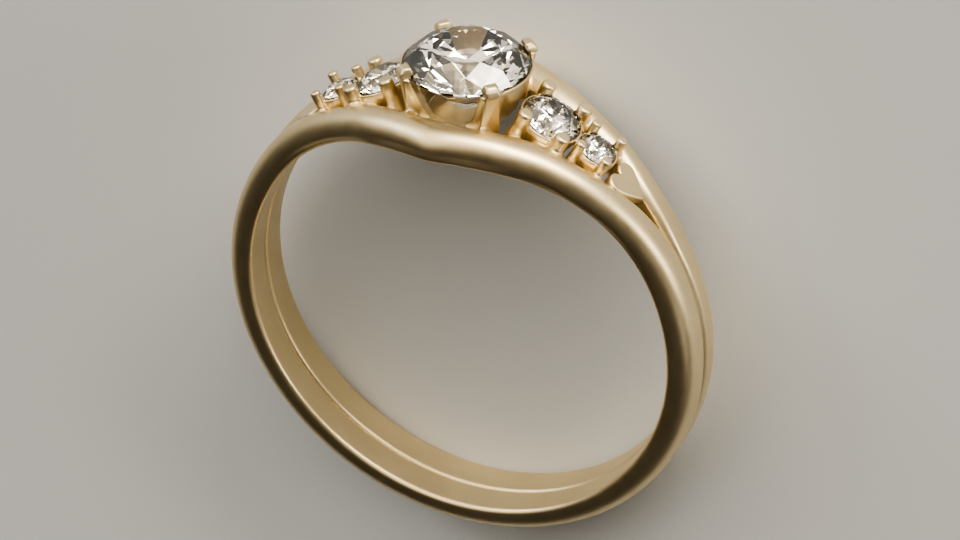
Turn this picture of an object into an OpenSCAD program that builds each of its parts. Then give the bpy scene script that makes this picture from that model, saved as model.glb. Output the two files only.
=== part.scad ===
// Wedding ring of two gold rails that part round a row of five round brilliants, with a heart at
// each end of the row. It is drawn as worn, X along the row, Y along the finger and Z up through
// the centre stone, and then laid on its side as it rests. Millimetres and degrees.

/* [Band] */
// Radius of the finger hole
finger_r = 8.6; // [8.4:0.1:8.8]
// Thickness of a rail, from the finger hole outwards
rail_t = 1.1; // [1.05:0.05:1.2]
// Rounding of a rail's outer edge on its free side
crown_round = 0.75; // [0.6:0.05:0.8]
// Rounding of a rail's edges at the finger hole
bore_round = 0.22; // [0.16:0.02:0.26]

/* [Centre stone] */
// Diameter of the centre stone at its girdle
centre_d = 4.75; // [4.6:0.05:4.8]
// Height of its girdle above the band's outer surface
centre_lift = 1.15; // [1.1:0.05:1.2]

/* [Side stones] */
// Diameter of the inner side stone
inner_d = 2.26; // [2.16:0.02:2.3]
// Angle along the band to the inner side stone
inner_angle = 20.3; // [20:0.1:20.6]
// Lean of the inner side stone and its posts away from the centre
inner_lean = 25; // [24:1:27]
// Diameter of the outer side stone
outer_d = 1.47; // [1.4:0.02:1.54]
// Angle along the band to the outer side stone
outer_angle = 32.05; // [31.8:0.1:32.4]
// Lean of the outer side stone and its posts away from the centre
outer_lean = 28; // [27:1:30]
// Height of the side stones' girdles above the band's outer surface
side_lift = 0.16; // [0.1:0.02:0.2]

/* [Settings] */
// Gap between a stone and the metal round it
stone_gap = 0.03; // [0.02:0.01:0.05]
// Height of a claw's tip above the centre stone's girdle
claw_top = 0.35; // [0.3:0.01:0.45]
// Height of a post's tip above its side stone's girdle
post_top = 0.44; // [0.36:0.02:0.5]

/* [Hearts] */
// Length of a heart from its tip to its lobes
heart_len = 1.6; // [1.5:0.05:1.65]
// Angle along the band to a heart's tip
heart_angle = 47.1; // [46.6:0.1:47.4]
// Lean of a heart's flat top
heart_lean = 42; // [41:0.5:43]
// Thickness of a heart
heart_t = 0.4; // [0.3:0.05:0.5]

/* [Hidden] */

gold = [0.80, 0.64, 0.38];
diamond = [0.86, 0.91, 0.96];

band_r = finger_r + rail_t;
centre_z = band_r + centre_lift;

// The rails from the centre stone round to the back of the band, a row for each angle: angle, and
// distance from the middle plane of the free side at the finger hole, of the free side at the
// outer surface, and of the side towards the stones, and width and depth of the slope from the
// outer surface down to that side
RAIL_SIDES = [
    [0, 3.74, 3.70, 2.00, 0.90, 0.42],
    [7, 3.53, 3.45, 1.92, 0.74, 0.42],
    [12.5, 3.27, 3.19, 1.60, 0.80, 0.40],
    [18, 2.96, 2.94, 1.30, 0.76, 0.38],
    [25, 2.51, 2.57, 1.06, 0.68, 0.36],
    [36, 1.98, 2.14, 0.78, 0.54, 0.34],
    [47, 1.62, 1.73, 0.30, 0.38, 0.32],
    [60, 1.43, 1.46, -0.02, 0.30, 0.30],
    [72, 1.41, 1.41, -0.02, 0.30, 0.30],
    [180, 1.41, 1.41, -0.02, 0.30, 0.30],
];
ANGLE = 0;
FREE_LOW = 1;
FREE_HIGH = 2;
STONE_SIDE = 3;
SLOPE_WIDTH = 4;
SLOPE_DEPTH = 5;
// Where the rails run on with one width, the sections stand further apart
flare_end = 72;
flare_step = 3;
shank_step = 6;
arc_steps = 3;
// The rails reach a little into the finger hole, which then cuts them
bore_stock = 0.05;

// Proportions of a round brilliant, as shares of its girdle radius
table_share = 0.57;
crown_share = 0.31;
star_share = 0.80;
girdle_share = 0.03;
pavilion_share = 0.86;
lower_share = 0.26;

// Plan of a claw in the quarter where x and y are positive: its foot on the rail, its neck under
// the step, and its cap, each from the corner nearest the finger's line to the far one
CLAW_FOOT = [[1.40, 2.06], [1.85, 1.22], [1.45, 0.95], [1.02, 1.62]];
CLAW_NECK = [[1.66, 2.08], [2.06, 1.63], [1.60, 1.18], [1.18, 1.60]];
CLAW_CAP = [[1.74, 2.14], [2.15, 1.73], [1.82, 1.31], [1.31, 1.82]];
CLAW_SHOULDER = [[1.72, 2.08], [2.08, 1.72], [1.81, 1.35], [1.35, 1.81]];
CLAW_TIP = [[1.67, 1.94], [1.94, 1.67], [1.77, 1.42], [1.42, 1.77]];
claw_foot_z = band_r - 0.75;
claw_step_z = centre_z - 0.02;
claw_shoulder_z = centre_z + 0.5 * claw_top;
claw_tip_z = centre_z + claw_top;

// Wall of the centre stone's cup: its foot and its knee, each as inner radius, outer radius and
// height, and the radii and height of its rim
CUP_FOOT = [1.46, 1.60, band_r - 0.85];
CUP_KNEE = [1.60, 1.93, band_r - 0.45];
cup_rim_r = centre_d / 2 + 0.10;
cup_rim_hole_r = centre_d / 2 - 0.20;
cup_edge = 0.06;
cup_top_z = centre_z - 0.045;
// Gold that joins both rails under the stone: size along the row, across it, foot, top and the
// hole in it for the stone's point
bridge_w = 2.5;
bridge_l = 4.5;
bridge_foot_z = finger_r - 0.20;
bridge_top_z = band_r - 0.50;
bridge_hole_r = 0.3;
// Windows of the cup between two claws, one each way along the finger. Each narrows inwards:
// height of its sill, half widths at the sill and at its top, and distance from the middle plane
WINDOW_OUT = [band_r - 0.52, 0.92, 1.82, 2.60];
WINDOW_IN = [band_r - 0.46, 0.80, 1.66, 0.90];
window_round = 0.40;

// Cup of a side stone, as shares of the stone's radius: its foot and top, each from its hole out
seat_foot_hole = 0.55;
seat_foot = 0.86;
seat_top_hole = 0.75;
// Rim of that cup: width outside the stone, height and top
seat_rim = 0.09;
seat_rim_h = 0.20;
seat_top_z = -0.035;
// Depth of the cup and its posts under the girdle, leg and head radius of a post, and its place
INNER_SETTING = [1.15, 0.26, 0.29, [0.80, 1.08]];
OUTER_SETTING = [1.10, 0.18, 0.20, [0.56, 0.75]];
SEAT_DEPTH = 0;
LEG_R = 1;
HEAD_R = 2;
POST_AT = 3;
// Foot of a post as a share of its leg, heights between which it widens to its head, and its
// rounded end
post_foot = 1.5;
post_neck_z = -0.25;
post_head_z = 0.05;
post_round = 0.14;

slab = 0.01;

// Ends of the ring as it rests: leaned so that it stands on the far rail's bulge and the back
rest_lean = 7.49;
rest_y = -0.9803;
rest_z = 2.5648;

// Reading of a table with a smooth curve through its rows
function row_at(t, x) = max([for (i = [0:len(t) - 2]) t[i][ANGLE] <= x ? i : 0]);
function slope_at(t, c, i) =
    i == 0 || i >= len(t) - 2 ? 0
    : (t[i + 1][c] - t[i - 1][c]) / (t[i + 1][ANGLE] - t[i - 1][ANGLE]);
function smooth_at(t, c, x) =
    let (i = row_at(t, x), h = t[i + 1][ANGLE] - t[i][ANGLE], u = (x - t[i][ANGLE]) / h)
    (2 * u ^ 3 - 3 * u ^ 2 + 1) * t[i][c] + (u ^ 3 - 2 * u ^ 2 + u) * h * slope_at(t, c, i)
    + (3 * u ^ 2 - 2 * u ^ 3) * t[i + 1][c] + (u ^ 3 - u ^ 2) * h * slope_at(t, c, i + 1);

// One corner of a section as an arc: centre, radius and starting angle of a quarter turn
function corner(c, r, from) =
    [for (k = [0:arc_steps]) let (a = from + 90 * k / arc_steps) c + r * [cos(a), sin(a)]];

// Section of a rail as radius and distance from the middle plane. The slope towards the stones
// drops as a share of its depth.
function slope_drop(u) = 0.6 * u ^ 2 + 0.4 * (1 - sqrt(1 - u ^ 2));
function rail_section(free_low, free_high, stone, width, depth) =
    let (low = finger_r - bore_stock, b = bore_round, c = crown_round)
    concat(
        corner([band_r - c, free_high - c], c, 0),
        corner([low + b, free_low - b], b, 90),
        corner([low + b, stone + b], b, 180),
        [for (k = [0:arc_steps]) let (u = cos(90 * k / arc_steps))
            [band_r - depth * slope_drop(u), stone + width * (1 - u)]]);

rail_angles = concat(
    [for (a = [-flare_end:flare_step:flare_end]) a],
    [for (a = [flare_end + shank_step:shank_step:360 - flare_end - shank_step]) a]);

function rail_ring(a) =
    let (t = a > 180 ? 360 - a : abs(a),
         s = [for (c = [FREE_LOW:SLOPE_DEPTH]) smooth_at(RAIL_SIDES, c, t)])
    [for (p = rail_section(s[0], s[1], s[2], s[3], s[4])) [p.x * sin(a), p.y, p.x * cos(a)]];

module rail() {
    rings = [for (a = rail_angles) rail_ring(a)];
    n = len(rings);
    m = len(rings[0]);
    polyhedron(
        points = [for (ring = rings) each ring],
        faces = [
            for (i = [0:n - 1], j = [0:m - 1], half = [0:1])
                let (a = i * m + j, b = i * m + (j + 1) % m,
                     c = ((i + 1) % n) * m + (j + 1) % m, d = ((i + 1) % n) * m + j)
                half == 0 ? [a, b, c] : [a, c, d]
        ]);
}

// Carries a shape from the top of the band to an angle along it, with its own lean
module on_band(angle, radius, lean) {
    translate([radius * sin(angle), 0, radius * cos(angle)]) rotate([0, lean, 0]) children();
}

module in_each_quarter() {
    for (sx = [0:1], sy = [0:1]) mirror([sx, 0, 0]) mirror([0, sy, 0]) children();
}

// Space round a stone of radius r whose girdle is at the height 0
module stone_space(r) {
    crown = crown_share * r;
    rotate_extrude($fn = 32)
        polygon([
            [0, crown + 1], [table_share * r, crown + 1], [table_share * r, crown + stone_gap],
            [r + stone_gap, stone_gap], [r + stone_gap, -girdle_share * r - stone_gap],
            [0, -(girdle_share + pavilion_share) * r - stone_gap],
        ]);
}

// Body through plans with the same number of points, each at its own height, from the lowest up
module loft(plans, heights) {
    n = len(plans);
    m = len(plans[0]);
    polyhedron(
        points = [for (i = [0:n - 1], p = plans[i]) [p.x, p.y, heights[i]]],
        faces = [
            [for (j = [m - 1:-1:0]) j],
            [for (j = [0:m - 1]) (n - 1) * m + j],
            for (i = [0:n - 2], j = [0:m - 1], half = [0:1])
                let (a = i * m + j, b = i * m + (j + 1) % m, c = b + m, d = a + m)
                half == 0 ? [a, b, c] : [a, c, d]
        ]);
}

module claw() {
    loft([CLAW_FOOT, CLAW_NECK], [claw_foot_z, centre_z]);
    loft([CLAW_CAP, CLAW_SHOULDER, CLAW_TIP], [claw_step_z, claw_shoulder_z, claw_tip_z]);
}

// Outline of a window at one distance from the middle plane
module window_slice(w) {
    translate([0, -w[3], 0]) rotate([90, 0, 0]) linear_extrude(slab)
        offset(r = window_round, $fn = 24) offset(delta = -window_round)
            polygon([[-w[1], w[0]], [w[1], w[0]], [w[2], centre_z + 1], [-w[2], centre_z + 1]]);
}

module cup() {
    difference() {
        union() {
            rotate_extrude($fn = 48)
                polygon([
                    [CUP_FOOT[0], CUP_FOOT[2]], [CUP_FOOT[1], CUP_FOOT[2]], [CUP_KNEE[1], CUP_KNEE[2]],
                    [cup_rim_r, cup_top_z - cup_edge], [cup_rim_r - cup_edge, cup_top_z],
                    [cup_rim_hole_r, cup_top_z], [CUP_KNEE[0], CUP_KNEE[2] + 0.05],
                ]);
            difference() {
                translate([-bridge_w / 2, -bridge_l / 2, bridge_foot_z])
                    cube([bridge_w, bridge_l, bridge_top_z - bridge_foot_z]);
                cylinder(r = bridge_hole_r, h = centre_z, $fn = 24);
            }
        }
        for (side = [0, 1])
            mirror([0, side, 0])
                hull() {
                    window_slice(WINDOW_OUT);
                    window_slice(WINDOW_IN);
                }
    }
}

module centre_head() {
    difference() {
        union() {
            cup();
            in_each_quarter() claw();
        }
        translate([0, 0, centre_z]) stone_space(centre_d / 2);
    }
}

// Cup and four posts of a side stone of radius r, with its girdle at the height 0
module side_setting(r, setting) {
    depth = setting[SEAT_DEPTH];
    leg_r = setting[LEG_R];
    head_r = setting[HEAD_R];
    difference() {
        union() {
            rotate_extrude($fn = 24)
                polygon([
                    [seat_foot_hole * r, -depth], [seat_foot * r, -depth],
                    [r + seat_rim, seat_top_z - seat_rim_h], [r + seat_rim, seat_top_z - seat_rim / 2],
                    [r + seat_rim / 2, seat_top_z], [seat_top_hole * r, seat_top_z],
                ]);
            in_each_quarter()
                translate([setting[POST_AT].x, setting[POST_AT].y, 0])
                    rotate_extrude($fn = 10)
                        polygon([
                            [0, -depth], [post_foot * leg_r, -depth], [leg_r, post_neck_z],
                            [head_r, post_head_z], [head_r, post_top - post_round],
                            [0.75 * head_r, post_top - 0.2 * post_round], [0, post_top],
                        ]);
        }
        stone_space(r);
    }
}

module side_settings() {
    on_band(inner_angle, band_r + side_lift, inner_lean) side_setting(inner_d / 2, INNER_SETTING);
    on_band(outer_angle, band_r + side_lift, outer_lean) side_setting(outer_d / 2, OUTER_SETTING);
}

// Half outline of a heart from its tip to its cleft: a curve to the widest place, then an arc
lobe_r = 0.263 * heart_len;
lobe_x = 0.72 * heart_len;
lobe_y = 0.25 * heart_len;
side_start = 30;
cleft_turn = 162;
function bezier(p, u) =
    (1 - u) ^ 3 * p[0] + 3 * (1 - u) ^ 2 * u * p[1] + 3 * (1 - u) * u ^ 2 * p[2] + u ^ 3 * p[3];
function heart_half() =
    let (widest = [lobe_x - lobe_r * sin(side_start), lobe_y + lobe_r * cos(side_start)],
         way = 0.2 * heart_len * [cos(side_start), sin(side_start)])
    concat(
        [for (k = [0:4]) bezier([[0, 0], [0.2, 0.24] * heart_len, widest - way, widest], k / 5)],
        [for (k = [0:6]) let (a = 90 + side_start - k * (side_start + cleft_turn) / 6)
            [lobe_x, lobe_y] + lobe_r * [cos(a), sin(a)]]);
module heart_outline() {
    half = [for (p = heart_half()) if (p.y >= 0) p];
    polygon(concat(half, [for (i = [len(half) - 1:-1:1]) [half[i].x, -half[i].y]]));
}

module heart() {
    on_band(heart_angle, band_r + 0.02, heart_lean)
        mirror([1, 0, 0]) {
            translate([0, 0, -heart_t]) linear_extrude(heart_t - 0.08) heart_outline();
            translate([0, 0, -0.09]) linear_extrude(0.05) offset(delta = -0.03) heart_outline();
            translate([0, 0, -0.05]) linear_extrude(0.05) offset(delta = -0.08) heart_outline();
        }
}

module on_both_sides() {
    children();
    mirror([1, 0, 0]) children();
}

// Lays the ring, drawn as worn, on its side
module laid() {
    translate([0, rest_y, rest_z]) rotate([rest_lean - 90, 0, 0]) children();
}

module gold_mounting() {
    color(gold) laid()
        difference() {
            // As wide as the band, whatever the steps of the rails
            resize([2 * band_r, 0, 0]) {
                rail();
                mirror([0, 1, 0]) rail();
                centre_head();
                on_both_sides() {
                    side_settings();
                    heart();
                }
            }
            rotate([90, 0, 0]) cylinder(r = finger_r, h = 12, center = true, $fn = 96);
        }
}

// Round brilliant of radius r with its girdle at the height 0
module brilliant(r) {
    crown = crown_share * r;
    slope = crown / (r - table_share * r);
    table = [for (a = [0:45:315]) [table_share * r * cos(a), table_share * r * sin(a), crown]];
    star = [for (a = [22.5:45:337.5]) [star_share * r * cos(a), star_share * r * sin(a),
        slope * (r - star_share * r * cos(22.5))]];
    girdle = [for (a = [0:22.5:337.5], z = [0, -girdle_share * r]) [r * cos(a), r * sin(a), z]];
    lower = [for (a = [22.5:45:337.5]) [lower_share * r * cos(a), lower_share * r * sin(a),
        -girdle_share * r - pavilion_share * r * (1 - lower_share * cos(22.5))]];
    culet = [[0, 0, -(girdle_share + pavilion_share) * r]];
    points = concat(table, star, girdle, lower, culet);
    hull() polyhedron(points, [for (i = [0:len(points) - 3]) [i, i + 1, i + 2]]);
}

module centre_stone() {
    color(diamond) laid() translate([0, 0, centre_z]) brilliant(centre_d / 2);
}

module inner_stone_right() {
    color(diamond) laid() on_band(inner_angle, band_r + side_lift, inner_lean) brilliant(inner_d / 2);
}

module inner_stone_left() {
    color(diamond) laid() on_band(-inner_angle, band_r + side_lift, -inner_lean) brilliant(inner_d / 2);
}

module outer_stone_right() {
    color(diamond) laid() on_band(outer_angle, band_r + side_lift, outer_lean) brilliant(outer_d / 2);
}

module outer_stone_left() {
    color(diamond) laid() on_band(-outer_angle, band_r + side_lift, -outer_lean) brilliant(outer_d / 2);
}

gold_mounting();
centre_stone();
inner_stone_left();
inner_stone_right();
outer_stone_left();
outer_stone_right();
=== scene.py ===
import math

import bmesh
import bpy
import numpy as np
from mathutils import Matrix, Vector


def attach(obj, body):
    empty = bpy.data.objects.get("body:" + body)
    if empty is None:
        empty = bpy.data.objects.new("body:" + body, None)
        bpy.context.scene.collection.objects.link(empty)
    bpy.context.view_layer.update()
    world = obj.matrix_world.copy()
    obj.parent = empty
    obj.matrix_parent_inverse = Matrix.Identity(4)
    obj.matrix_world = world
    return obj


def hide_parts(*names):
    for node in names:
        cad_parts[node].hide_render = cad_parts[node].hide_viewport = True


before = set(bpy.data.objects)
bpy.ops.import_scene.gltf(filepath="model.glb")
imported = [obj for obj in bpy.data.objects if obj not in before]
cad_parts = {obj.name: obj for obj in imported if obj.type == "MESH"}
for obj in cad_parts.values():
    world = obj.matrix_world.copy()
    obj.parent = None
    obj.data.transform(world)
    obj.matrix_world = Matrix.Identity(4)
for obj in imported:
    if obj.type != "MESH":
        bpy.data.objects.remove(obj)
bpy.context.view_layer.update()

# The ring is worked out as worn, in millimetres: X along the row of stones, Y along the finger, Z up
# through the centre stone. It is laid on its side in metres at the end.
MM = 0.001
# Radii of the finger hole and of the band's outer surface
FINGER_R = 8.6
BAND_R = 9.7
# Radii of the stones at the girdle, and height of the centre stone's girdle
CENTRE_R = 2.375
INNER_R = 1.13
OUTER_R = 0.735
CENTRE_Z = BAND_R + 1.15
# Place round the band and own lean, in degrees, of the side stones and the hearts, and how far the
# side stones' girdles stand above the band
INNER_ANGLE, INNER_LEAN = 20.3, 25.0
OUTER_ANGLE, OUTER_LEAN = 32.05, 28.0
HEART_ANGLE, HEART_LEAN = 47.1, 42.0
SIDE_LIFT = 0.16
STONE_GAP = 0.03
# Shape of a brilliant, as shares of its radius: the table and the height of the crown, the thickness of
# the girdle, the depth from its upper edge to the point, and where the star and lower facets end
TABLE_SHARE, CROWN_SHARE = 0.57, 0.31
GIRDLE_SHARE, DEPTH_SHARE = 0.03, 0.89
STAR_SHARE, LOWER_SHARE = 0.80, 0.26

# How the ring lies: its lean from flat, in degrees, and the place of its middle
REST_LEAN = 7.49
REST_Y = -0.9803
REST_Z = 2.5648

# Angle from the centre stone, distance from the middle plane of the free side at the finger hole, of the
# free side at the outer surface, and of the side towards the stones, and width and depth of the slope
# from the outer surface down to that side
RAIL_SIDES = np.array([
    [0, 3.74, 3.70, 2.00, 0.90, 0.42],
    [7, 3.53, 3.45, 1.92, 0.74, 0.42],
    [12.5, 3.27, 3.19, 1.60, 0.80, 0.40],
    [18, 2.96, 2.94, 1.30, 0.76, 0.38],
    [25, 2.51, 2.57, 1.06, 0.68, 0.36],
    [36, 1.98, 2.14, 0.78, 0.54, 0.34],
    [47, 1.62, 1.73, 0.30, 0.38, 0.32],
    [60, 1.43, 1.46, -0.02, 0.30, 0.30],
    [72, 1.41, 1.41, -0.02, 0.30, 0.30],
    [180, 1.41, 1.41, -0.02, 0.30, 0.30],
])
FREE_LOW, FREE_HIGH, STONE_SIDE, SLOPE_WIDTH, SLOPE_DEPTH = range(1, 6)
# Rounding of the free side's outer edge, and of both edges at the finger hole
CROWN_ROUND = 0.75
BORE_ROUND = 0.22


def smooth_table(column, angle):
    """A column of RAIL_SIDES at these angles, as a smooth curve through its rows."""
    x, y = RAIL_SIDES[:, 0], RAIL_SIDES[:, column]
    slope = np.zeros(len(x))
    slope[1:-2] = (y[2:-1] - y[:-3]) / (x[2:-1] - x[:-3])
    i = np.clip(np.searchsorted(x, angle, side="right") - 1, 0, len(x) - 2)
    h = x[i + 1] - x[i]
    u = (angle - x[i]) / h
    start = (2 * u**3 - 3 * u**2 + 1) * y[i] + (u**3 - 2 * u**2 + u) * h * slope[i]
    end = (3 * u**2 - 2 * u**3) * y[i + 1] + (u**3 - u**2) * h * slope[i + 1]
    return start + end


def slope_drop(share):
    """How far the slope towards the stones has dropped, as a share of its depth.

    It is partly a parabola and partly a quarter of a circle, so its end is steep.
    """
    return 0.6 * share**2 + 0.4 * (1 - np.sqrt(1 - np.minimum(share, 1) ** 2))


LAID = (
    Matrix.Translation((0, REST_Y * MM, REST_Z * MM))
    @ Matrix.Rotation(math.radians(REST_LEAN - 90), 4, "X")
    @ Matrix.Scale(MM, 4)
)


def laid(points):
    """Points of the ring as worn, in millimetres, to where they lie, in metres."""
    m = np.array(LAID)
    return np.asarray(points) @ m[:3, :3].T + m[:3, 3]


def add_piece(name, points, faces, node, material, smooth=True):
    """A mesh piece of the ring that stands for a CAD node."""
    mesh = bpy.data.meshes.new(name)
    mesh.from_pydata(laid(points).tolist(), [], [list(map(int, f)) for f in faces])
    mesh.update()
    if smooth:
        mesh.shade_smooth()
    else:
        mesh.shade_flat()
    piece = bpy.data.objects.new(name, mesh)
    bpy.context.scene.collection.objects.link(piece)
    mesh.materials.append(material)
    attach(piece, "root")
    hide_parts(node)


# Distances: negative inside a body, in millimetres
def smooth_min(a, b, k):
    """Union of two bodies, with a fillet of about k where they meet."""
    h = np.clip(0.5 + 0.5 * (b - a) / k, 0, 1)
    return b + (a - b) * h - k * h * (1 - h)


def smooth_max(a, b, k):
    """What two bodies share, with an edge rounded by about k."""
    return -smooth_min(-a, -b, k)


def rounded(*edges, r):
    """Distance to a body from the distances to its faces, rounded by r."""
    q = np.stack(edges) + r
    return np.linalg.norm(np.maximum(q, 0), axis=0) + np.minimum(q.max(0), 0) - r


def polygon_distance(u, v, outline):
    """Distance to a flat outline, negative inside."""
    nearest = np.full(u.shape, np.inf)
    sign = np.ones(u.shape)
    for (ax, ay), (bx, by) in zip(outline, np.roll(outline, 1, axis=0)):
        ex, ey = bx - ax, by - ay
        wx, wy = u - ax, v - ay
        t = np.clip((wx * ex + wy * ey) / (ex * ex + ey * ey), 0, 1)
        nearest = np.minimum(nearest, (wx - ex * t) ** 2 + (wy - ey * t) ** 2)
        above, below, left = v >= ay, v < by, ex * wy > ey * wx
        flip = (above & below & left) | ~(above | below | left)
        sign = np.where(flip, -sign, sign)
    return sign * np.sqrt(nearest)


def turned(p, profile):
    """Distance to a body turned about the Z axis, whose profile is radius and height."""
    return polygon_distance(np.hypot(p[..., 0], p[..., 1]), p[..., 2], np.array(profile))


def lofted(p, plans, heights, k):
    """Distance to a convex body through plans at their heights, the edges between its sides rounded."""
    slices = [
        np.column_stack([plan, np.full(len(plan), z)]) for plan, z in zip(plans, heights)
    ]
    middle = np.concatenate(slices).mean(0)

    def beyond(a, b, c):
        """Distance past the plane of three corners, and a test of whether another point is past it."""
        normal = np.cross(b - a, c - a)
        normal = normal * np.sign((a - middle) @ normal) / np.linalg.norm(normal)
        return p @ normal - a @ normal, lambda point: (point - a) @ normal > 0

    sides = [beyond(*slices[0][:3])[0], beyond(*slices[-1][:3])[0]]
    for j, n in ((0, 1), (1, 2), (2, 3), (3, 0)):
        side = -np.inf
        for low, high in zip(slices, slices[1:]):
            upper, past_upper = beyond(low[j], high[j], high[n])
            lower, _ = beyond(low[j], low[n], high[n])
            creased_in = past_upper(low[n])
            side = np.maximum(side, (np.minimum if creased_in else np.maximum)(upper, lower))
        sides.append(side)
    out = sides[0]
    for side in sides[1:]:
        out = smooth_max(out, side, k)
    return out


def mirrored(p, *axes):
    """Points folded over to the positive side of these axes."""
    q = np.array(p)
    for axis in axes:
        q[..., axis] = np.abs(q[..., axis])
    return q


def finger_hole(p):
    """Distance to the space of the finger hole."""
    return np.hypot(p[..., 0], p[..., 2]) - FINGER_R


def rail_distance(p):
    """Distance to the nearer rail, true enough near its side towards the stones."""
    angle = np.degrees(np.abs(np.arctan2(p[..., 0], p[..., 2])))
    radius = np.hypot(p[..., 0], p[..., 2])
    y = np.abs(p[..., 1])
    free, stone, width, depth = (
        smooth_table(c, angle) for c in (FREE_HIGH, STONE_SIDE, SLOPE_WIDTH, SLOPE_DEPTH)
    )
    share = np.clip((stone + width - y) / width, 0, 1)
    top = (radius - BAND_R + depth * slope_drop(share)) / np.sqrt(1 + (depth / width * share) ** 2)
    return rounded(top, FINGER_R - radius, y - free, stone - y, r=0.10)


# How far a fillet on a rail reaches, and how deep its edge lies under the rail's skin
FILLET = 0.28
SKIN = 0.012


def joined_to_rails(body, p):
    """The body with a fillet on the rails, and without the rails themselves."""
    return np.maximum(smooth_min(body, rail_distance(p) + SKIN, FILLET), body - 1.4 * FILLET)


# How often a point is pulled to the skin, the least squared slope that counts, and the longest pull in
# steps of the grid
PULLS = 3
LEAST_SLOPE_SQUARED = 0.2
LONGEST_PULL = 0.4


def skin_of(distance, low, high, step):
    """Points and four-sided faces of the surface where the distance is nothing.

    Each edge of the grid that crosses the surface makes a face, and its corners are points in the four
    cells around the edge.
    """
    axes = [np.arange(a, b + step, step) for a, b in zip(low, high)]
    grid = np.stack(np.meshgrid(*axes, indexing="ij"), -1)
    field = distance(grid)
    shape = field.shape
    crossings, around = [], []
    for axis in range(3):
        first = np.take(field, range(shape[axis] - 1), axis)
        last = np.take(field, range(1, shape[axis]), axis)
        at = np.argwhere((first < 0) != (last < 0))
        one, two = (axis + 1) % 3, (axis + 2) % 3
        kept = (at[:, one] > 0) & (at[:, two] > 0)
        kept &= (at[:, one] < shape[one] - 1) & (at[:, two] < shape[two] - 1)
        at = at[kept]
        a, b = first[tuple(at.T)], last[tuple(at.T)]
        point = at.astype(float)
        point[:, axis] += a / (a - b)
        cells = []
        for i, j in ((0, 0), (-1, 0), (-1, -1), (0, -1)):
            cell = at.copy()
            cell[:, one] += i
            cell[:, two] += j
            cells.append(np.ravel_multi_index(cell.T, shape))
        cells = np.column_stack(cells)
        cells[a >= 0] = cells[a >= 0, ::-1]
        crossings.append(point)
        around.append(cells)
    crossings, around = np.concatenate(crossings), np.concatenate(around)
    _, faces = np.unique(around, return_inverse=True)
    faces = faces.reshape(around.shape)
    count = np.bincount(faces.ravel())
    points = np.column_stack([
        np.bincount(faces.ravel(), np.repeat(crossings[:, i], 4)) / count for i in range(3)
    ])
    points = np.array(low) + step * points
    for _ in range(PULLS):
        points = pulled_to_skin(distance, points, step)
    return points, faces


def pulled_to_skin(distance, points, step):
    """Points moved along the slope of the distance to where it is nothing."""
    away = distance(points)
    slope = np.column_stack([
        distance(points + e) - distance(points - e) for e in np.eye(3) * step / 4
    ]) / (step / 2)
    move = -slope * (away / np.maximum((slope**2).sum(1), LEAST_SLOPE_SQUARED))[:, None]
    length = np.linalg.norm(move, axis=1)[:, None]
    return points + move * np.minimum(1, LONGEST_PULL * step / np.maximum(length, 1e-9))


# Rails
SECTION_STEPS = 9
FLARE_END = 72
FLARE_STEP = 1.0
SHANK_STEP = 2.0
# How much smaller the rails are drawn, so that they stay inside the flat facets of the CAD
INSET = 0.007


def corner(centre, r, start):
    """A quarter of a circle, from a direction in degrees."""
    turn = np.radians(start + np.linspace(0, 90, SECTION_STEPS))
    return np.array(centre) + r * np.column_stack([np.cos(turn), np.sin(turn)])


def rail_ring(angle):
    """Section of a rail at an angle, as points of the ring."""
    t = min(abs(angle), 360 - abs(angle))
    low, high, stone, width, depth = (smooth_table(c, t) for c in range(FREE_LOW, SLOPE_DEPTH + 1))
    low, high, top = low - INSET, high - INSET, BAND_R - INSET
    c, b = CROWN_ROUND, BORE_ROUND
    share = np.sin(np.linspace(math.pi / 2, 0, SECTION_STEPS))
    slope = np.column_stack([top - depth * slope_drop(share), stone + width * (1 - share)])
    section = np.concatenate([
        corner((top - c, high - c), c, 0),
        corner((FINGER_R + b, low - b), b, 90),
        corner((FINGER_R + b, stone + b), b, 180),
        slope,
    ])
    a = math.radians(angle)
    return np.column_stack([
        section[:, 0] * math.sin(a), section[:, 1], section[:, 0] * math.cos(a)
    ])


def rail(side):
    """Points and faces of one rail."""
    angles = np.concatenate([
        np.arange(-FLARE_END, FLARE_END, FLARE_STEP),
        np.arange(FLARE_END, 360 - FLARE_END, SHANK_STEP),
    ])
    rings = np.array([rail_ring(a) for a in angles]) * (1, side, 1)
    n, m = rings.shape[:2]
    index = np.arange(n * m).reshape(n, m)
    across = np.roll(index, -1, axis=1)
    faces = np.stack([
        index, np.roll(index, -1, axis=0), np.roll(across, -1, axis=0), across
    ], -1).reshape(-1, 4)
    return rings.reshape(-1, 3), faces[:, ::-1] if side < 0 else faces


# Centre head: plans of a claw from its foot to its tip
CLAW_FOOT = np.array([[1.40, 2.06], [1.85, 1.22], [1.45, 0.95], [1.02, 1.62]])
CLAW_NECK = np.array([[1.66, 2.08], [2.06, 1.63], [1.60, 1.18], [1.18, 1.60]])
CLAW_CAP = np.array([[1.74, 2.14], [2.15, 1.73], [1.82, 1.31], [1.31, 1.82]])
CLAW_SHOULDER = np.array([[1.72, 2.08], [2.08, 1.72], [1.81, 1.35], [1.35, 1.81]])
CLAW_TIP = np.array([[1.67, 1.94], [1.94, 1.67], [1.77, 1.42], [1.42, 1.77]])
CLAW_TOP = 0.35
# Section of the cup's wall: radius and height
CUP_TOP_Z = CENTRE_Z - 0.045
CUP_WALL = [
    [1.46, BAND_R - 0.85], [1.60, BAND_R - 0.85], [1.93, BAND_R - 0.45],
    [CENTRE_R + 0.10, CUP_TOP_Z - 0.06], [CENTRE_R + 0.04, CUP_TOP_Z],
    [CENTRE_R - 0.20, CUP_TOP_Z], [1.60, BAND_R - 0.40],
]
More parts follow.
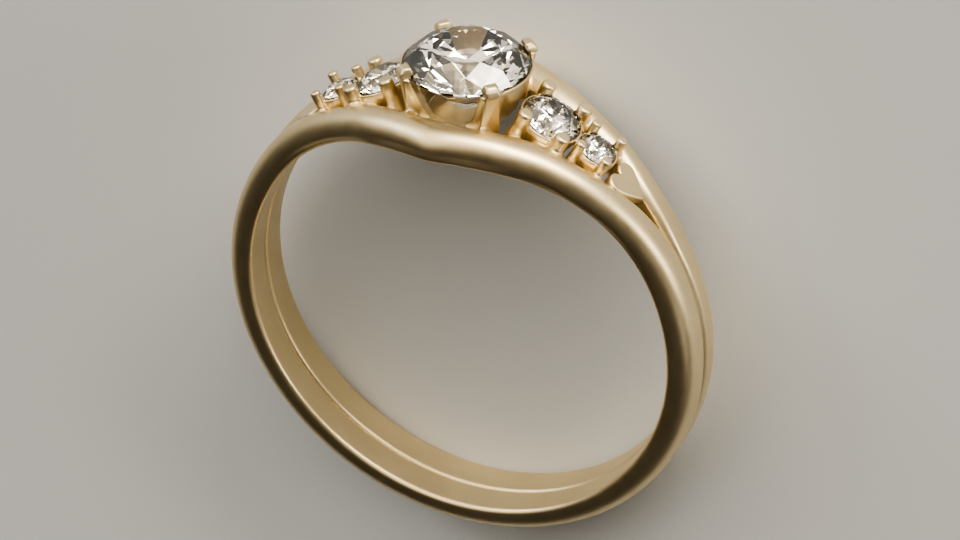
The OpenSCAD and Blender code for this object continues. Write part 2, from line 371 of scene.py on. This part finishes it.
# Gold under the stone that joins both rails
BRIDGE_HALF = (1.25, 2.25)
BRIDGE_TOP_Z = BAND_R - 0.50
BRIDGE_HOLE_R = 0.3
# Window between two claws, at its outer and inner mouth: distance from the middle plane, height of
# the sill, half width there, and how fast it widens upwards
WINDOW_OUT = (2.60, BAND_R - 0.52, 0.92, 0.34)
WINDOW_IN = (0.90, BAND_R - 0.46, 0.80, 0.33)
WINDOW_ROUND = 0.45


def stone_space(p, r):
    """Distance to the space that a stone needs, open above its table."""
    crown = CROWN_SHARE * r
    return turned(p, [
        [0, crown + 1], [TABLE_SHARE * r, crown + 1], [TABLE_SHARE * r, crown + STONE_GAP],
        [r + STONE_GAP, STONE_GAP], [r + STONE_GAP, -GIRDLE_SHARE * r - STONE_GAP],
        [0, -DEPTH_SHARE * r - STONE_GAP],
    ])


def window(p):
    """Distance to the windows in the cup, one each way along the finger."""
    x, y, z = np.abs(p[..., 0]), np.abs(p[..., 1]), p[..., 2]
    share = (y - WINDOW_IN[0]) / (WINDOW_OUT[0] - WINDOW_IN[0])
    sill, half, slope = (
        WINDOW_IN[i] + share * (WINDOW_OUT[i] - WINDOW_IN[i]) for i in (1, 2, 3)
    )
    side = (x - half - slope * (z - sill)) / np.sqrt(1 + slope**2)
    return smooth_max(smooth_max(side, sill - z, WINDOW_ROUND), WINDOW_IN[0] - y, 0.05)


def head_body(p):
    """Distance to the cup, the claws and the bridge, less the stone's space."""
    # The last number of each join is the size of its fillet or rounded edge
    cup = turned(p, CUP_WALL)
    x, y, z = np.abs(p[..., 0]), np.abs(p[..., 1]), p[..., 2]
    bridge = rounded(x - BRIDGE_HALF[0], y - BRIDGE_HALF[1], z - BRIDGE_TOP_Z, r=0.10)
    bridge = smooth_max(bridge, BRIDGE_HOLE_R - np.hypot(x, y), 0.03)
    q = mirrored(p, 0, 1)
    leg = lofted(q, [CLAW_FOOT, CLAW_NECK], [BAND_R - 0.75, CENTRE_Z - 0.01], 0.06)
    cap = lofted(
        q, [CLAW_CAP, CLAW_SHOULDER, CLAW_TIP],
        [CENTRE_Z - 0.03, CENTRE_Z + 0.5 * CLAW_TOP, CENTRE_Z + CLAW_TOP], 0.07,
    )
    walls = smooth_max(smooth_min(cup, leg, 0.30), z - CUP_TOP_Z, 0.04)
    body = smooth_max(smooth_min(walls, bridge, 0.15), -window(p), 0.08)
    body = smooth_min(smooth_min(body, leg, 0.02), cap, 0.02)
    space = stone_space(p - (0, 0, CENTRE_Z), CENTRE_R)
    return smooth_max(body, -space, 0.02)


def centre_head(p):
    """Distance to the head with its fillets on the rails."""
    body = joined_to_rails(head_body(p), p)
    return smooth_max(body, -finger_hole(p), 0.06)


# Side settings: depth under the girdle, leg and head radius of a post, and its place
INNER_SETTING = (1.15, 0.26, 0.29, (0.80, 1.08))
OUTER_SETTING = (1.10, 0.18, 0.20, (0.56, 0.75))
POST_TOP = 0.44
# Seat of a side stone: how far its rim reaches past the stone, and its inner and outer radius at the
# foot as shares of the stone's
SEAT_RIM = 0.08
SEAT_FOOT_IN, SEAT_FOOT_OUT = 0.55, 0.86
# A post: its width at the foot as a share of the leg's, where the leg is thinnest and where its head
# is widest
POST_FOOT_SHARE = 1.5
POST_NECK_Z, POST_HEAD_Z = -0.25, 0.05


def on_band(p, angle, radius, lean):
    """Points as seen from a place on the band that has its own lean."""
    a, b = math.radians(angle), math.radians(lean)
    q = p - (radius * math.sin(a), 0, radius * math.cos(a))
    c, s = math.cos(b), math.sin(b)
    return np.stack([
        q[..., 0] * c - q[..., 2] * s, q[..., 1], q[..., 0] * s + q[..., 2] * c
    ], -1)


def side_setting(p, r, setting):
    """Distance to the seat and the four posts of a side stone, seen from the stone."""
    depth, leg_r, head_r, (post_x, post_y) = setting
    seat = turned(p, [
        [SEAT_FOOT_IN * r, -depth], [SEAT_FOOT_OUT * r, -depth],
        [r + SEAT_RIM, -0.24], [r + SEAT_RIM, -0.08], [r + 0.03, -0.035], [0.75 * r, -0.035],
    ])
    q = mirrored(p, 0, 1) - (post_x, post_y, 0)
    # The profile starts past the axis, so that rounding leaves no dimple there
    leg = turned(q, [
        [-1, -depth], [POST_FOOT_SHARE * leg_r, -depth], [leg_r, POST_NECK_Z],
        [head_r, POST_HEAD_Z], [head_r, 1], [-1, 1],
    ])
    posts = rounded(leg, q[..., 2] - POST_TOP, r=0.45 * head_r)
    body = smooth_min(seat - 0.02, posts, 0.12)
    return smooth_max(body, -stone_space(p, r), 0.02)


def side_settings(p):
    """Distance to both side settings at one end of the row, with their fillets on the rails."""
    inner = on_band(p, INNER_ANGLE, BAND_R + SIDE_LIFT, INNER_LEAN)
    outer = on_band(p, OUTER_ANGLE, BAND_R + SIDE_LIFT, OUTER_LEAN)
    body = smooth_min(
        side_setting(inner, INNER_R, INNER_SETTING),
        side_setting(outer, OUTER_R, OUTER_SETTING), 0.04,
    )
    return smooth_max(joined_to_rails(body, p), -finger_hole(p), 0.06)


# Hearts
HEART_LEN = 1.6
HEART_T = 0.4
HEART_ROUND = 0.10


def heart_outline():
    """A heart from its tip to its cleft and back, along X from the tip."""
    lobe_r, lobe = 0.263 * HEART_LEN, np.array([0.72, 0.25]) * HEART_LEN
    start = math.radians(30)
    widest = lobe + lobe_r * np.array([-math.sin(start), math.cos(start)])
    before = widest - 0.2 * HEART_LEN * np.array([math.cos(start), math.sin(start)])
    u = np.linspace(0, 1, 13)[:-1, None]
    side = (
        3 * (1 - u) ** 2 * u * np.array([0.2, 0.24]) * HEART_LEN
        + 3 * (1 - u) * u**2 * before + u**3 * widest
    )
    turn = np.radians(np.linspace(120, -72, 22))
    arc = lobe + lobe_r * np.column_stack([np.cos(turn), np.sin(turn)])
    half = np.concatenate([side, arc])
    half = half[half[:, 1] >= 0]
    return np.concatenate([half, (half * (1, -1))[:0:-1]])


HEART = heart_outline()


def heart(p):
    """Distance to the heart at one end of the row."""
    q = on_band(p, HEART_ANGLE, BAND_R + 0.02, HEART_LEAN)
    flat = polygon_distance(-q[..., 0], q[..., 1], HEART)
    return rounded(flat, q[..., 2], -HEART_T - q[..., 2], r=HEART_ROUND)


# Stones
def brilliant(r):
    """Points of a round brilliant whose girdle has its upper edge at the height 0."""
    crown, girdle, depth = CROWN_SHARE * r, GIRDLE_SHARE * r, DEPTH_SHARE * r
    eighths = np.radians(np.arange(0, 360, 45))
    between = np.radians(np.arange(22.5, 360, 45))
    sixteenths = np.radians(np.arange(0, 360, 22.5))

    def ring(turn, radius, z):
        return np.column_stack([
            radius * np.cos(turn), radius * np.sin(turn), np.full(len(turn), z)
        ])

    star_r, lower_r = STAR_SHARE * r, LOWER_SHARE * r
    slope = crown / (r - TABLE_SHARE * r)
    tilt = math.cos(math.radians(22.5))
    star_z = slope * (r - star_r * tilt)
    lower_z = -girdle - (depth - girdle) * (1 - lower_r * tilt / r)
    return np.concatenate([
        ring(eighths, TABLE_SHARE * r, crown), ring(between, star_r, star_z),
        ring(sixteenths, r, 0), ring(sixteenths, r, -girdle),
        ring(between, lower_r, lower_z), [[0, 0, -depth]],
    ])


def hull(points):
    """Points and flat faces of the convex body round these points."""
    bm = bmesh.new()
    for p in points:
        bm.verts.new(p)
    made = bmesh.ops.convex_hull(bm, input=bm.verts)
    bmesh.ops.delete(bm, geom=made["geom_interior"], context="VERTS")
    bmesh.ops.dissolve_limit(
        bm, angle_limit=math.radians(0.5), verts=bm.verts, edges=bm.edges
    )
    bm.verts.index_update()
    out = [tuple(v.co) for v in bm.verts], [[v.index for v in f.verts] for f in bm.faces]
    bm.free()
    return out


def placed(points, angle, radius, lean):
    """Points at a place on the band that has its own lean."""
    turn = Matrix.Rotation(math.radians(lean), 3, "Y")
    a = math.radians(angle)
    at = Vector((radius * math.sin(a), 0, radius * math.cos(a)))
    return [tuple(turn @ Vector(p) + at) for p in points]


# Materials: colours, how often the noise repeats in a metre, roughness, and bump
GOLD_DEEP, GOLD_PALE = (0.80, 0.67, 0.44, 1), (0.86, 0.73, 0.49, 1)
GOLD_CLOUDS, GOLD_GRAIN = 350, 2500
GOLD_ROUGH = (0.38, 0.43)
GRAIN_STRENGTH, GRAIN_HEIGHT = 0.25, 2e-6
DIAMOND_IOR = 2.42
# The stone's two colours are painted reflections, not its own colour: warm gold where it is seen
# straight on, a cool bluish fringe of light at a slant
DIAMOND_PAINTED_GOLD_REFLECTION, DIAMOND_PAINTED_COOL_FRINGE = (1.0, 0.965, 0.90, 1), (0.94, 0.96, 1.0, 1)
DIAMOND_POLISH = (0.0, 0.012)
FLOOR_DEEP, FLOOR_PALE = (0.85, 0.88, 0.92, 1), (0.89, 0.92, 0.95, 1)


def new_material(name):
    """A material, its nodes and its shader."""
    material = bpy.data.materials.new(name)
    material.use_nodes = True
    tree = material.node_tree
    shader = tree.nodes["Principled BSDF"]
    return material, tree, shader


def noise(tree, scale, detail):
    """Noise that is fixed to the piece."""
    coords = tree.nodes.new("ShaderNodeTexCoord")
    node = tree.nodes.new("ShaderNodeTexNoise")
    node.inputs["Scale"].default_value = scale
    node.inputs["Detail"].default_value = detail
    tree.links.new(coords.outputs["Object"], node.inputs["Vector"])
    return node


def spread(tree, node, low, high):
    """The node's noise as a value between two limits."""
    out = tree.nodes.new("ShaderNodeMapRange")
    out.inputs["From Min"].default_value = 0.3
    out.inputs["From Max"].default_value = 0.7
    out.inputs["To Min"].default_value = low
    out.inputs["To Max"].default_value = high
    tree.links.new(node.outputs["Fac"], out.inputs["Value"])
    return out


def tinted(tree, shader, source, low, high, low_at=0.0, high_at=1.0):
    """Give the shader one colour where the source is low and another where it is high."""
    ramp = tree.nodes.new("ShaderNodeValToRGB")
    first, last = ramp.color_ramp.elements
    first.position, last.position = low_at, high_at
    first.color, last.color = low, high
    tree.links.new(source, ramp.inputs["Fac"])
    tree.links.new(ramp.outputs["Color"], shader.inputs["Base Color"])


def gold_material():
    """Satin gold with faint clouds and a fine grain."""
    material, tree, shader = new_material("satin_gold")
    shader.inputs["Metallic"].default_value = 1.0
    cloud = noise(tree, GOLD_CLOUDS, 2)
    tinted(tree, shader, cloud.outputs["Fac"], GOLD_DEEP, GOLD_PALE, 0.35, 0.65)
    grain = noise(tree, GOLD_GRAIN, 3)
    rough = spread(tree, grain, *GOLD_ROUGH)
    tree.links.new(rough.outputs["Result"], shader.inputs["Roughness"])
    bump = tree.nodes.new("ShaderNodeBump")
    bump.inputs["Strength"].default_value = GRAIN_STRENGTH
    bump.inputs["Distance"].default_value = GRAIN_HEIGHT
    tree.links.new(grain.outputs["Fac"], bump.inputs["Height"])
    tree.links.new(bump.outputs["Normal"], shader.inputs["Normal"])
    return material


def diamond_material():
    """Clear stone, with a painted warm reflection of the gold where seen straight on and a painted cool
    bluish fringe of light at a slant.
    """
    material, tree, shader = new_material("diamond")
    shader.inputs["IOR"].default_value = DIAMOND_IOR
    shader.inputs["Transmission Weight"].default_value = 1.0
    # Painted reflection: the view's slant picks the stone's warm gold or cool bluish tint
    painted_reflection_slant = tree.nodes.new("ShaderNodeLayerWeight")
    painted_reflection_slant.inputs["Blend"].default_value = 0.4
    tinted(tree, shader, painted_reflection_slant.outputs["Facing"], DIAMOND_PAINTED_GOLD_REFLECTION, DIAMOND_PAINTED_COOL_FRINGE)
    polish = spread(tree, noise(tree, 900, 2), *DIAMOND_POLISH)
    tree.links.new(polish.outputs["Result"], shader.inputs["Roughness"])
    return material


def floor_material():
    """Pale matt floor with faint clouds."""
    material, tree, shader = new_material("pale_floor")
    shader.inputs["Roughness"].default_value = 0.6
    tinted(tree, shader, noise(tree, 8, 2).outputs["Fac"], FLOOR_DEEP, FLOOR_PALE)
    return material


# Making of the pieces
HEAD_STEP = 0.036
SIDE_STEP = 0.032
gold = gold_material()
diamond = diamond_material()


def add_gold(name, points, faces):
    """A piece of the mounting."""
    add_piece(name, points, faces, "gold_mounting", gold)


def add_mirrored(name, points, faces):
    """A piece of the mounting, and its mirror image at the other end of the row."""
    add_gold(name + "_right", points, faces)
    add_gold(name + "_left", points * (-1, 1, 1), faces[:, ::-1])


for side, name in ((-1, "near_rail"), (1, "far_rail")):
    add_gold(name, *rail(side))
add_gold("centre_head", *skin_of(
    centre_head, (-2.9, -2.9, FINGER_R - 0.35), (2.9, 2.9, CENTRE_Z + 0.5), HEAD_STEP))
add_mirrored("side_settings", *skin_of(side_settings, (1.9, -2.0, 6.2), (6.9, 2.0, 10.4), SIDE_STEP))
add_mirrored("heart", *skin_of(heart, (5.2, -1.1, 5.2), (8.2, 1.1, 8.4), SIDE_STEP))


def add_stone(name, r, angle, radius, lean):
    """A brilliant at a place on the band."""
    points, faces = hull(brilliant(r))
    add_piece(
        name + "_facets", placed(points, angle, radius, lean), faces, name, diamond,
        smooth=False,
    )


add_stone("centre_stone", CENTRE_R, 0, CENTRE_Z, 0)
for side, word in ((1, "right"), (-1, "left")):
    add_stone(f"inner_stone_{word}", INNER_R, side * INNER_ANGLE, BAND_R + SIDE_LIFT, side * INNER_LEAN)
    add_stone(f"outer_stone_{word}", OUTER_R, side * OUTER_ANGLE, BAND_R + SIDE_LIFT, side * OUTER_LEAN)


# Floor, lights and camera
def add_floor():
    """A plain pale floor under the ring."""
    bpy.ops.mesh.primitive_plane_add(size=3)
    floor = bpy.context.object
    floor.name = "floor"
    floor.data.materials.append(floor_material())


LIGHT_DISTANCE = 0.5


def add_light(name, toward, size, strength, color):
    """A soft box that looks at the ring from a direction, as bright as strength says."""
    data = bpy.data.lights.new(name, "AREA")
    data.shape = "RECTANGLE"
    data.size, data.size_y = size
    data.energy = strength * math.pi * size[0] * size[1]
    data.color = color
    light = bpy.data.objects.new(name, data)
    way = Vector(toward).normalized()
    light.location = way * LIGHT_DISTANCE
    light.rotation_mode = "QUATERNION"
    light.rotation_quaternion = way.to_track_quat("Z", "Y")
    bpy.context.scene.collection.objects.link(light)


# Room light: the way it is brightest, the cosine where it fades out, its strengths and its colour
WORLD_BRIGHT_WAY = (-0.30, 0.85, 0.43)
WORLD_REACH = 0.45
WORLD_DIM = 0.05
WORLD_BRIGHT = 1.5
WORLD_COLOR = (1.0, 0.91, 0.77, 1)


def add_world():
    """A dim room, brighter behind the centre stone."""
    world = bpy.data.worlds.new("studio")
    world.use_nodes = True
    tree = world.node_tree
    coords = tree.nodes.new("ShaderNodeTexCoord")
    toward = tree.nodes.new("ShaderNodeVectorMath")
    toward.operation = "DOT_PRODUCT"
    toward.inputs[1].default_value = WORLD_BRIGHT_WAY
    tree.links.new(coords.outputs["Generated"], toward.inputs[0])
    strength = tree.nodes.new("ShaderNodeMapRange")
    strength.interpolation_type = "SMOOTHSTEP"
    strength.inputs["From Min"].default_value = WORLD_REACH
    strength.inputs["From Max"].default_value = 1.0
    strength.inputs["To Min"].default_value = WORLD_DIM
    strength.inputs["To Max"].default_value = WORLD_BRIGHT
    tree.links.new(toward.outputs["Value"], strength.inputs["Value"])
    background = tree.nodes["Background"]
    background.inputs["Color"].default_value = WORLD_COLOR
    tree.links.new(strength.outputs["Result"], background.inputs["Strength"])
    bpy.context.scene.world = world
    bpy.context.scene.view_settings.view_transform = "AgX"
    bpy.context.scene.view_settings.look = "AgX - High Contrast"


# The photo's view of the ring as worn: place, and the picture's right and up
CAMERA_AT = (58.84, -130.58, 99.95)
CAMERA_RIGHT = (0.9146, 0.4043, -0.0061)
CAMERA_UP = (-0.2244, 0.5200, 0.8241)
CAMERA_LENS = 171.8


def add_camera():
    """The camera at the photo's angle to the ring."""
    data = bpy.data.cameras.new("camera")
    data.sensor_fit = "HORIZONTAL"
    data.sensor_width = 36
    data.lens = CAMERA_LENS
    data.clip_start, data.clip_end = 0.01, 10
    camera = bpy.data.objects.new("camera", data)
    bpy.context.scene.collection.objects.link(camera)
    right, up = Vector(CAMERA_RIGHT), Vector(CAMERA_UP)
    turn = LAID.to_3x3().normalized() @ Matrix((right, up, right.cross(up))).transposed()
    camera.matrix_world = Matrix.Translation(LAID @ Vector(CAMERA_AT)) @ turn.to_4x4()
    bpy.context.scene.camera = camera


add_floor()
add_world()
add_light("main", (0.42, 0.88, 0.13), (0.34, 0.24), 8.5, (1.0, 0.92, 0.79))
add_light("right_side", (0.95, 0.22, 0.12), (0.18, 0.14), 7, (1.0, 0.93, 0.82))
add_light("front_fill", (0.75, -0.36, 0.50), (0.16, 0.16), 0.8, (1.0, 0.95, 0.86))
add_light("left_strip", (-0.75, 0.60, 0.28), (0.10, 0.20), 4, (0.75, 0.87, 1.0))
add_camera()
